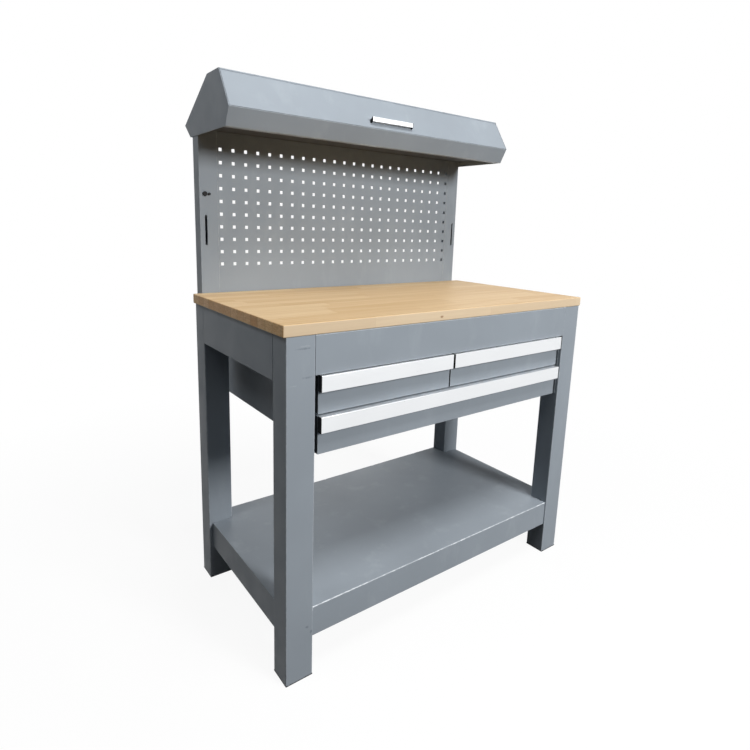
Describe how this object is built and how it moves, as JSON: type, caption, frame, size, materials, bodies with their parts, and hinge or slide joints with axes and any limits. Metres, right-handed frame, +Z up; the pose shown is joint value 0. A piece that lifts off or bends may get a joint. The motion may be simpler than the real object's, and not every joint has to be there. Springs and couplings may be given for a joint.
{
  "type": "workbench",
  "caption": "Steel workbench with a laminated wood top, drawers with bright pull strips, a lower shelf and a perforated back panel under a hood with a lift-up door.",
  "frame": {"origin": "middle of the footprint on the floor", "axes": "+X to the user's right, +Y to the back panel, +Z up"},
  "size_m": [1.15, 0.71, 1.571],
  "materials": {
    "grey_paint": "semi-gloss",
    "dark_paint": "matte",
    "laminated_wood": "satin",
    "pull_aluminium": "satin",
    "black_plastic": "matte",
    "zinc_steel": "zinc plated",
    "white_paint": "satin",
    "lamp_diffuser": "opal"
  },
  "bodies": {
    "bench": {"apron_back": "grey_paint", "apron_left": "grey_paint", "apron_right": "grey_paint", "back_panel": "grey_paint", "cabinet_divider": "grey_paint", "cabinet_rails": "grey_paint", "cabinet_side_left": "grey_paint", "cabinet_side_right": "grey_paint", "fascia_front": "grey_paint", "feet": "black_plastic", "hinge_leaf_fixed": "grey_paint", "hinge_pin": "zinc_steel", "hood_band": "grey_paint", "hood_end_left": "grey_paint", "hood_end_right": "grey_paint", "hood_floor": "dark_paint", "hood_shell": "grey_paint", "lamp_body": "white_paint", "lamp_diffuser": "lamp_diffuser", "leg_back_left": "grey_paint", "leg_back_right": "grey_paint", "leg_front_left": "grey_paint", "leg_front_right": "grey_paint", "post_bolts": "zinc_steel", "post_left": "grey_paint", "post_right": "grey_paint", "shelf": "grey_paint", "shelf_ribs": "grey_paint", "slide_fixed": "zinc_steel", "switch_body": "black_plastic", "table_top": "laminated_wood", "top_screws": "zinc_steel"},
    "drawer_left": {"drawer_pan_left": "grey_paint", "drawer_front_left": "grey_paint", "pull_left": "pull_aluminium", "pull_caps_left": "black_plastic", "slide_inner_left": "zinc_steel"},
    "slide_left": {"slide_middle_left": "zinc_steel"},
    "drawer_right": {"drawer_pan_right": "grey_paint", "drawer_front_right": "grey_paint", "pull_right": "pull_aluminium", "pull_caps_right": "black_plastic", "slide_inner_right": "zinc_steel"},
    "slide_right": {"slide_middle_right": "zinc_steel"},
    "drawer_lower": {"drawer_pan_lower": "grey_paint", "drawer_front_lower": "grey_paint", "pull_lower": "pull_aluminium", "pull_caps_lower": "black_plastic", "slide_inner_lower": "zinc_steel"},
    "slide_lower": {"slide_middle_lower": "zinc_steel"},
    "door": {"hood_door": "grey_paint", "hood_handle": "pull_aluminium", "handle_caps": "black_plastic", "hinge_leaf_door": "grey_paint"},
    "lamp_button": {"button_lamp": "black_plastic"},
    "socket_button": {"button_socket": "black_plastic"}
  },
  "joints": [
    {"name": "drawer_left_slide", "type": "slide", "parent": "bench", "child": "drawer_left", "axis": [0, -1, 0], "range_m": [0, 0.42]},
    {"name": "slide_left_run", "type": "slide", "parent": "bench", "child": "slide_left", "axis": [0, -1, 0], "range_m": [0, 0.21]},
    {"name": "drawer_right_slide", "type": "slide", "parent": "bench", "child": "drawer_right", "axis": [0, -1, 0], "range_m": [0, 0.42]},
    {"name": "slide_right_run", "type": "slide", "parent": "bench", "child": "slide_right", "axis": [0, -1, 0], "range_m": [0, 0.21]},
    {"name": "drawer_lower_slide", "type": "slide", "parent": "bench", "child": "drawer_lower", "axis": [0, -1, 0], "range_m": [0, 0.42]},
    {"name": "slide_lower_run", "type": "slide", "parent": "bench", "child": "slide_lower", "axis": [0, -1, 0], "range_m": [0, 0.21]},
    {"name": "hood_door_hinge", "type": "hinge", "parent": "bench", "child": "door", "pos_m": [0, 0.07196, 1.5675], "axis": [-1, 0, 0], "range_deg": [0, 95]},
    {"name": "lamp_button_press", "type": "slide", "parent": "bench", "child": "lamp_button", "axis": [0, 1, 0], "range_m": [0, 0.0025], "stiffness_N_per_m": 400},
    {"name": "socket_button_press", "type": "slide", "parent": "bench", "child": "socket_button", "axis": [0, 1, 0], "range_m": [0, 0.0025], "stiffness_N_per_m": 400}
  ],
  "couplings": [
    {"joint": "slide_left_run", "follows": "drawer_left_slide", "ratio": 0.5},
    {"joint": "slide_right_run", "follows": "drawer_right_slide", "ratio": 0.5},
    {"joint": "slide_lower_run", "follows": "drawer_lower_slide", "ratio": 0.5}
  ]
}
